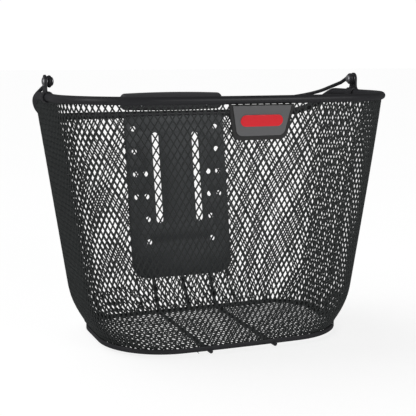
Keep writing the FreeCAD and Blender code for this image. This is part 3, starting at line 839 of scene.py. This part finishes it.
class BASKET_OT_wires(bpy.types.Operator):
    """Wires down the rear wall and forward under the floor"""
    bl_idname = "basket.wires"
    bl_label = "Runner wires"

    def execute(self, context):
        radius = context.scene.basket_sizes.wire_radius
        material = basket_materials()["wire_coat"]
        bend_z = 33 * MM
        low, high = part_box("skid_wire_right")
        x = (low.x + high.x) / 2
        top = (0, wire_line(high.z), high.z)
        down = (0, wire_line(bend_z), bend_z)
        runner_points = [
            Vector((x, *top[1:])), Vector((x, *down[1:])),
            Vector((x, HOOP_REAR_Y + 10 * MM, radius)), Vector((x, low.y, radius)),
        ]
        runner = tube("runner_right", rounded_path(runner_points, [16 * MM, 13 * MM]), radius, sides=5)
        other = mirrored_copy(runner, "runner_left")
        smooth(other, 50)
        end_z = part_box("centre_wire")[0].z
        end = Vector((0, HOOP_REAR_Y + HOOP_THICKNESS / 2 + radius - 0.3 * MM, end_z + 1 * MM))
        centre_points = rounded_path([Vector(top), Vector(down), end], [16 * MM])
        centre = tube("middle_wire", centre_points, radius, sides=5)
        finish(runner, "basket", "wire_coat", material, "skid_wire_right")
        finish(other, "basket", "wire_coat", material, "skid_wire_left")
        finish(centre, "basket", "wire_coat", material, "centre_wire")
        return {"FINISHED"}


# ---------------------------------------------------------------- rear plate

class BASKET_OT_plate(bpy.types.Operator):
    """Leaning mounting plate with two long slots and sixteen holes"""
    bl_idname = "basket.plate"
    bl_label = "Mounting plate"

    def execute(self, context):
        lean = math.sqrt(1 + REAR_SLOPE ** 2)
        middle = (PLATE_LOW.z + PLATE_HIGH.z) / 2
        half = PLATE_HIGH.x
        top = (PLATE_HIGH.z - middle) * lean
        bottom = (PLATE_LOW.z - middle) * lean
        corner = 17 * MM
        top_corner = 3 * MM
        outline = arc_points((half - top_corner, top - top_corner), top_corner, 0, 90, 5)
        outline += arc_points((top_corner - half, top - top_corner), top_corner, 90, 180, 5)
        outline += arc_points((corner - half, bottom + corner), corner, 180, 270, 14)
        outline += arc_points((half - corner, bottom + corner), corner, 270, 360, 14)
        outlines = [outline]
        pitch = 25 * MM
        first_row = (199.3 * MM - middle) * lean
        holes = [(48.2 * MM, row) for row in (0, 1, 2, 3)] + [(36.9 * MM, row) for row in (2, 3, 4, 5)]
        for x, row in holes:
            for side in (-1, 1):
                centre = (side * x, first_row - row * pitch)
                outlines.append(arc_points(centre, 3 * MM, 0, 345, 23))
        slot_radius = 4 * MM
        low = (96 * MM - middle) * lean + slot_radius
        high = (194.7 * MM - middle) * lean - slot_radius
        for side in (-1, 1):
            x = side * 23.3 * MM
            slot = arc_points((x, high), slot_radius, 0, 180, 12)
            slot += arc_points((x, low), slot_radius, 180, 360, 12)
            outlines.append(slot)
        plate = flat_part("rear_plate", outlines, PLATE_THICKNESS, 0.35 * MM)
        place(plate, plate_frame(middle))
        finish(plate, "basket", "plate_coat", basket_materials()["plate_coat"], "mounting_plate")
        return {"FINISHED"}


# ---------------------------------------------------------------- badge

BADGE_TOP = 235.6 * MM
BADGE_BOTTOM = 204 * MM
BADGE_LOWER_BORDER = 1 * MM
INLAY_Z = 221.6 * MM
INLAY_WIDTH = 40.9 * MM
INLAY_HEIGHT = 10.4 * MM
STUD_X = 16 * MM


def badge_frame(z, offset):
    """Places a flat drawing on the front wall: X to the right, Y up the wall, its back at the offset."""
    lean = math.atan(FRONT_SLOPE)
    y = FRONT_Y + FRONT_SLOPE * (RIM_Z - z) - SHEET / 2
    out = Vector((0, -math.cos(lean), -math.sin(lean)))
    start = Vector((0, y, z)) + out * offset
    return Matrix.Translation(start) @ Matrix.Rotation(math.pi / 2 + lean, 4, "X")


def badge_outline(inset):
    """Straight top, sides that close downwards and round lower corners, drawn from the badge's middle."""
    low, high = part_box("badge_holder")
    tall = (BADGE_TOP - BADGE_BOTTOM) * math.sqrt(1 + FRONT_SLOPE ** 2)
    top, bottom = tall / 2 - min(inset, 0.6 * MM), inset - tall / 2
    if inset:
        bottom += BADGE_LOWER_BORDER
    top_half = (high.x - low.x) / 2 - inset
    low_half = top_half - 4.4 * MM
    corner = 8 * MM - inset / 2
    side_angle = math.degrees(math.atan2(top - bottom, top_half - low_half))
    points = [(-top_half, top), (top_half, top)]
    turned_right = arc_points((low_half - corner, bottom + corner), corner, side_angle - 90, -90, 10)
    points += turned_right
    points += [(-x, y) for x, y in reversed(turned_right)]
    return list(reversed(points))


class BASKET_OT_badge(bpy.types.Operator):
    """Badge: black tray, grey plate with a red inlay, backing strip and push nuts"""
    bl_idname = "basket.badge"
    bl_label = "Badge"

    def execute(self, context):
        materials = basket_materials()
        middle = (BADGE_TOP + BADGE_BOTTOM) / 2
        tray_depth = 2.6 * MM
        lift = 0.2 * MM
        border = 2.8 * MM
        back = flat_part("tray_back", [badge_outline(0)], tray_depth - 1 * MM, 0.3 * MM)
        place(back, badge_frame(middle, lift + (tray_depth - 1 * MM) / 2))
        rings = [badge_outline(0), badge_outline(border)]
        wall = flat_part("tray_wall", rings, tray_depth - 0.2 * MM, 0.45 * MM, 3)
        place(wall, badge_frame(middle, lift + (tray_depth + 0.2 * MM) / 2))
        studs = []
        for side in (-1, 1):
            profile = [(0, 0), (0, 1.6 * MM), (6.4 * MM, 1.6 * MM), (7 * MM, 1.1 * MM), (7 * MM, 0)]
            stud = turned("stud", profile, 24)
            turn = badge_frame(INLAY_Z, 1 * MM) @ Matrix.Translation((side * STUD_X, 0, 0))
            place(stud, turn @ Matrix.Rotation(math.pi / 2, 4, "Y"))
            studs.append(stud)
        tray = join("badge_tray", [back, wall] + studs)
        finish(tray, "basket", "holder_plastic", materials["holder_plastic"], "badge_holder")

        face = flat_part("badge_face", [badge_outline(border + 0.15 * MM)], 1.8 * MM, 0.5 * MM, 3)
        place(face, badge_frame(middle, lift + tray_depth - 1 * MM + 0.9 * MM))
        finish(face, "basket", "badge_plastic", materials["badge_plastic"], "badge_plate")

        height = INLAY_HEIGHT / 2
        reach = INLAY_WIDTH / 2 - height
        pill = arc_points((reach, 0), height, -90, 90, 16) + arc_points((-reach, 0), height, 90, 270, 16)
        inlay = flat_part("badge_pill", [pill], 1.2 * MM, 0.35 * MM, 3)
        place(inlay, badge_frame(INLAY_Z, lift + tray_depth + 0.8 * MM))
        finish(inlay, "basket", "inlay_plastic", materials["inlay_plastic"], "badge_inlay")

        half_x, half_y, corner = 23 * MM, 6 * MM, 3 * MM
        strip_outline = []
        for x, y, start in ((1, 1, 0), (-1, 1, 90), (-1, -1, 180), (1, -1, 270)):
            centre = (x * (half_x - corner), y * (half_y - corner))
            strip_outline += arc_points(centre, corner, start, start + 90, 6)
        strip = flat_part("badge_strip", [strip_outline], 1 * MM, 0.25 * MM)
        place(strip, badge_frame(INLAY_Z, -SHEET - 1.3 * MM))
        finish(strip, "basket", "rim_coat", materials["rim_coat"], "badge_backing")

        nuts = []
        for side in (-1, 1):
            profile = [
                (0, 1.65 * MM), (0, 4 * MM), (0.5 * MM, 4 * MM), (1.4 * MM, 2.6 * MM), (1.2 * MM, 1.65 * MM)]
            nut = turned("nut", profile + [profile[0]], 32)
            turn = badge_frame(INLAY_Z, -SHEET - 1.85 * MM) @ Matrix.Translation((side * STUD_X, 0, 0))
            place(nut, turn @ Matrix.Rotation(math.pi / 2, 4, "Y"))
            nuts.append(nut)
        pair = join("badge_nuts", nuts)
        finish(pair, "basket", "fastener_steel", materials["fastener_steel"], "badge_push_nuts")
        return {"FINISHED"}


# ---------------------------------------------------------------- ears, rivets, bail and grip

EAR_PLANE = 165.8 * MM     # middle of the ear's strap


class BASKET_OT_ears(bpy.types.Operator):
    """Ears clasped round the rim, with the rivets and washers that the bail turns on"""
    bl_idname = "basket.ears"
    bl_label = "Ears and rivets"

    def execute(self, context):
        materials = basket_materials()
        up = PIVOT.z - RIM_Z
        half, flare = 6.4 * MM, 6.5 * MM
        base = 2.2 * MM
        right = arc_points((0, up), half, 0, 90, 10)
        neck = arc_points((half + flare, base + flare), flare, 180, 270, 8)
        right_side = [(half + flare, 0)] + list(reversed(neck)) + right
        outline = right_side + [(-x, y) for x, y in reversed(right_side)]
        hole = arc_points((0, up), 2.05 * MM, 0, 345, 23)
        strap = flat_part("strap", [outline, hole], 2 * MM, 0.4 * MM)
        turn = Matrix(((0, 0, 1, EAR_PLANE), (1, 0, 0, PIVOT.y), (0, 1, 0, RIM_Z), (0, 0, 0, 1)))
        place(strap, turn)

        hold = RIM_RADIUS + 0.9 * MM
        loop_points = [(HALF_WIDTH + hold * math.cos(a), RIM_Z + hold * math.sin(a))
                       for a in [math.radians(70 - 320 * i / 40) for i in range(41)]]
        deselect()
        bpy.ops.mesh.primitive_circle_add(vertices=41, radius=0.01)
        loop = bpy.context.object
        bpy.ops.object.mode_set(mode="EDIT")
        bpy.ops.mesh.select_all(action="SELECT")
        bpy.ops.mesh.extrude_region_move(TRANSFORM_OT_translate={"value": (0, 0, 0)})
        bpy.ops.object.mode_set(mode="OBJECT")
        for i, vertex in enumerate(loop.data.vertices):
            x, z = loop_points[i % 41]
            y = PIVOT.y + (half if i < 41 else -half)
            vertex.co = (x, y, z)
        clean_up(loop)
        apply_modifier(loop, "SOLIDIFY", thickness=1.7 * MM, offset=0.0)
        apply_modifier(loop, "BEVEL", width=0.35 * MM, segments=2, limit_method="ANGLE")
        smooth(loop, 40)
        ear = join("ear_clasp_right", [strap, loop])
        other = mirrored_copy(ear, "ear_clasp_left")
        smooth(other, 35)
        finish(ear, "basket", "rim_coat", materials["rim_coat"], "ear_right")
        finish(other, "basket", "rim_coat", materials["rim_coat"], "ear_left")

        washer_low, washer_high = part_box("pivot_washer_right")
        r_out = (washer_high.z - washer_low.z) / 2
        x0, x1 = washer_low.x, washer_high.x
        r_in = 2.03 * MM
        ring = [(x0, r_in), (x0, r_out - 0.2 * MM), (x0 + 0.2 * MM, r_out), (x1 - 0.2 * MM, r_out),
                (x1, r_out - 0.2 * MM), (x1, r_in), (x0, r_in)]
        washer = turned("washer_right", ring)
        place(washer, Matrix.Translation((0, PIVOT.y, PIVOT.z)))
        other = mirrored_copy(washer, "washer_left")
        finish(washer, "basket", "fastener_steel", materials["fastener_steel"], "pivot_washer_right")
        finish(other, "basket", "fastener_steel", materials["fastener_steel"], "pivot_washer_left")

        low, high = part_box("pivot_rivet_right")
        head, dome = 4.3 * MM, 2.0 * MM
        radius = 2.0 * MM
        curve = [math.radians(90 * i / 8) for i in range(9)]
        inner = [(low.x + dome * (1 - math.sin(a)), head * math.cos(a)) for a in reversed(curve)]
        outer = [(high.x - dome * (1 - math.sin(a)), head * math.cos(a)) for a in curve]
        rivet = turned("rivet_right", inner + [(low.x + dome, radius), (high.x - dome, radius)] + outer)
        place(rivet, Matrix.Translation((0, PIVOT.y, PIVOT.z)))
        other = mirrored_copy(rivet, "rivet_left")
        smooth(other, 35)
        finish(rivet, "basket", "rivet_steel", materials["rivet_steel"], "pivot_rivet_right")
        finish(other, "basket", "rivet_steel", materials["rivet_steel"], "pivot_rivet_left")
        return {"FINISHED"}


BAIL_ANGLE = math.radians(-12.9)
BAIL_REACH = 115.4 * MM
BAIL_CORNER = 58 * MM
WASHER_THICKNESS = 0.9 * MM
SIDE_PLAY = 0.3 * MM
EYE_X = (EAR_PLANE - 1 * MM) - WASHER_THICKNESS - SIDE_PLAY - 1.9 * MM
SCREW_PLACES = [(x, y) for x in (-38 * MM, 38 * MM) for y in (-5.5 * MM, 5.5 * MM)]


def laid_back():
    """Turns what is drawn straight back from the pivots down to the bail's place at rest."""
    return Matrix.Translation(PIVOT) @ Matrix.Rotation(BAIL_ANGLE, 4, "X")


class BASKET_OT_bail(bpy.types.Operator):
    """Wire bail with an eye bent round each rivet"""
    bl_idname = "basket.bail"
    bl_label = "Bail"

    def execute(self, context):
        radius = context.scene.basket_sizes.bail_radius
        eye = 2.07 * MM + radius
        count = 26
        leave = math.radians(38)
        eye_turns = [leave + (math.radians(338) - leave) * i / count for i in range(count + 1)]
        loop = [Vector((EYE_X, eye * math.cos(a), eye * math.sin(a))) for a in reversed(eye_turns)]
        tangent_end = loop[-1]
        run = [Vector((EYE_X, 11 * MM, 1.2 * MM)), Vector((EYE_X, 20 * MM, 0))]
        neck = [tangent_end.lerp(run[0], 0.5) + Vector((0, 0, 0.15 * MM))]
        legs = rounded_path(
            [run[1], Vector((EYE_X, BAIL_REACH, 0)), Vector((-EYE_X, BAIL_REACH, 0)),
             Vector((-EYE_X, 20 * MM, 0))],
            [BAIL_CORNER] * 2, 28)
        left = [Vector((-p.x, p.y, p.z)) for p in reversed(loop + neck + [run[0]])]
        bail = tube("bail_bow", loop + neck + [run[0]] + legs + left, radius, sides=6)
        place(bail, laid_back())
        finish(bail, "bail", "wire_coat", basket_materials()["wire_coat"], "bail_wire")
        return {"FINISHED"}


class BASKET_OT_grip(bpy.types.Operator):
    """Barrel grip in two half shells, with the screws that hold them"""
    bl_idname = "basket.grip"
    bl_label = "Grip"

    def execute(self, context):
        materials = basket_materials()
        half = 59 * MM
        end_radius, crown = 9.1 * MM, 10.2 * MM
        edge = 5 * MM
        bore = 1.95 * MM

        def radius_at(x):
            return end_radius + (crown - end_radius) * (1 - (x / (half - edge)) ** 2)

        right_end = [(half - edge + edge * math.sin(a), end_radius - edge * (1 - math.cos(a)))
                     for a in [math.radians(90 * i / 7) for i in range(8)]]
        left_end = [(-x, r) for x, r in reversed(right_end)]
        steps = 28
        body = [(x, radius_at(x)) for x in [(half - edge) * (2 * i / steps - 1) for i in range(1, steps)]]
        profile = [(-half, bore)] + left_end + body + right_end + [(half, bore), (-half, bore)]
        shells = (("grip_shell_upper", "grip_upper", True), ("grip_shell_lower", "grip_lower", False))
        for name, node, upper in shells:
            shell = turned(name, profile, 64)
            self.halve(shell, upper)
            if not upper:
                self.sink_screw_pockets(shell)
            apply_modifier(
                shell, "BEVEL", width=0.3 * MM, segments=2, limit_method="ANGLE",
                angle_limit=math.radians(50))
            smooth(shell, 35)
            place(shell, laid_back() @ Matrix.Translation((0, BAIL_REACH, 0)))
            finish(shell, "bail", "grip_plastic", materials["grip_plastic"], node)
        screws = [self.screw(x, y) for x, y in SCREW_PLACES]
        group = join("grip_screw_set", screws)
        place(group, laid_back() @ Matrix.Translation((0, BAIL_REACH, 0)))
        finish(group, "bail", "fastener_steel", materials["fastener_steel"], "grip_screws")
        return {"FINISHED"}

    @staticmethod
    def halve(shell, upper):
        """Keeps one half and closes the cut, a hair's breadth from the joint."""
        only(shell)
        bpy.ops.object.mode_set(mode="EDIT")
        bpy.ops.mesh.select_all(action="SELECT")
        side = 1 if upper else -1
        bpy.ops.mesh.bisect(
            plane_co=(0, 0, side * 0.03 * MM), plane_no=(0, 0, side), clear_inner=True, use_fill=True)
        bpy.ops.object.mode_set(mode="OBJECT")

    @staticmethod
    def sink_screw_pockets(shell):
        """Round pockets from below, with flat floors for the screws' heads."""
        deselect()
        cutters = []
        for x, y in SCREW_PLACES:
            bpy.ops.mesh.primitive_cylinder_add(
                vertices=32, radius=2.6 * MM, depth=10 * MM, location=(x, y, -10.5 * MM))
            cutters.append(bpy.context.object)
        cutter = join("pockets", cutters)
        apply_modifier(shell, "BOOLEAN", operation="DIFFERENCE", object=cutter, solver="EXACT")
        bpy.data.objects.remove(cutter)

    @staticmethod
    def screw(x, y):
        """Pan-head screw with a cross recess, standing head down."""
        head, shank = 2.3 * MM, 1.2 * MM
        seat, end, tip = -5.55 * MM, -7.1 * MM, 5 * MM
        profile = [
            (end, 0), (end, head * 0.7), (-6.6 * MM, head), (seat, head),
            (seat, shank), (4.6 * MM, shank), (tip, shank * 0.6), (tip, 0)]
        body = turned("screw", profile, 28)
        deselect()
        bars = []
        for size in ((2.6, 0.6), (0.6, 2.6)):
            bpy.ops.mesh.primitive_cube_add(size=1, location=(end, 0, 0))
            bar = bpy.context.object
            bar.scale = (1.6 * MM, size[0] * MM, size[1] * MM)
            bars.append(bar)
        for bar in bars:
            apply_modifier(body, "BOOLEAN", operation="DIFFERENCE", object=bar, solver="EXACT")
            bpy.data.objects.remove(bar)
        place(body, Matrix.Translation((x, y, 0)) @ Matrix.Rotation(-math.pi / 2, 4, "Y"))
        return body


# ---------------------------------------------------------------- stage

def soft_light(name, location, aim, size, power):
    deselect()
    bpy.ops.object.light_add(type="AREA", location=location)
    lamp = bpy.context.object
    lamp.name = name
    lamp.data.shape = "RECTANGLE"
    lamp.data.size, lamp.data.size_y = size
    lamp.data.energy = power
    lamp.rotation_euler = (Vector(aim) - Vector(location)).to_track_quat("-Z", "Y").to_euler()
    return lamp


class BASKET_OT_stage(bpy.types.Operator):
    """Pale floor, white surroundings, soft lights and the camera"""
    bl_idname = "basket.stage"
    bl_label = "Stage"

    def execute(self, context):
        scene = context.scene
        deselect()
        bpy.ops.mesh.primitive_plane_add(size=40, location=(0, 0, -0.2 * MM))
        floor = context.object
        floor.name = "studio_floor"
        material, tree, shader = principled("studio_floor", (0.25, 0.25, 0.25), 0.7)
        tone = mixed(tree, noise(tree, 3.0, 2), (0.24, 0.24, 0.24), (0.26, 0.26, 0.26))
        tree.links.new(tone, shader.inputs["Base Color"])
        shader.inputs["Specular IOR Level"].default_value = 0.1
        shader.inputs["Emission Color"].default_value = (1, 1, 1, 1)
        shader.inputs["Emission Strength"].default_value = 0.82
        floor.data.materials.append(material)
        floor.visible_glossy = False

        world = bpy.data.worlds.new("studio_world")
        scene.world = world
        world.use_nodes = True
        tree = world.node_tree
        background = tree.nodes["Background"]
        background.inputs["Color"].default_value = (1, 1, 1, 1)
        seen = tree.nodes.new("ShaderNodeLightPath")
        strength = spread(tree, seen.outputs["Is Camera Ray"], 0, 1, 0.08, 1.02)
        tree.links.new(strength, background.inputs["Strength"])
        scene.view_settings.view_transform = "Standard"

        deselect()
        bpy.ops.object.light_add(type="SUN", rotation=(math.radians(-32), math.radians(-30), 0))
        sun = context.object
        sun.name = "overhead_light"
        sun.data.energy = 2.4
        sun.data.angle = math.radians(70)
        sun.visible_glossy = False
        soft_light("front_light", (0.9, -1.9, 0.75), (0, 0, 0.15), (0.9, 0.7), 11)
        soft_light("left_light", (-1.8, -0.2, 0.7), (0, 0, 0.15), (0.4, 1.0), 6)

        deselect()
        bpy.ops.object.camera_add(location=(-0.3601, PIVOT.y - 0.9189, 0.2770))
        camera = context.object
        camera.name = "camera"
        target = Vector((-0.0005, PIVOT.y, 0.1239))
        camera.rotation_euler = (target - camera.location).to_track_quat("-Z", "Y").to_euler()
        camera.data.lens = 84.33
        camera.data.sensor_width = 36
        camera.data.clip_start = 0.01
        scene.camera = camera
        return {"FINISHED"}


# ---------------------------------------------------------------- panel, registration and the run

PIECE_OPERATORS = ("wall", "floor", "rim", "hoop", "wires", "plate", "badge", "ears", "bail", "grip")


class BASKET_PT_panel(bpy.types.Panel):
    """Lists the basket's sizes, colours and pieces"""
    bl_idname = "BASKET_PT_panel"
    bl_label = "Handlebar basket"
    bl_space_type = "VIEW_3D"
    bl_region_type = "UI"
    bl_category = "Basket"

    def draw(self, context):
        for group in (context.scene.basket_sizes, context.scene.basket_look):
            for key in group.__annotations__:
                self.layout.prop(group, key)
        for name in PIECE_OPERATORS + ("stage",):
            self.layout.operator(f"basket.{name}")


CLASSES = (
    BasketSizes, BasketLook, BASKET_OT_wall, BASKET_OT_floor, BASKET_OT_rim, BASKET_OT_hoop, BASKET_OT_wires,
    BASKET_OT_plate, BASKET_OT_badge, BASKET_OT_ears, BASKET_OT_bail, BASKET_OT_grip, BASKET_OT_stage,
    BASKET_PT_panel,
)


def register():
    for cls in CLASSES:
        bpy.utils.register_class(cls)
    bpy.types.Scene.basket_sizes = PointerProperty(type=BasketSizes)
    bpy.types.Scene.basket_look = PointerProperty(type=BasketLook)


def unregister():
    del bpy.types.Scene.basket_look
    del bpy.types.Scene.basket_sizes
    for cls in reversed(CLASSES):
        bpy.utils.unregister_class(cls)


def main():
    register()
    for name in ("stage",) + PIECE_OPERATORS:
        getattr(bpy.ops.basket, name)()
    deselect()


if __name__ == "__main__":
    main()
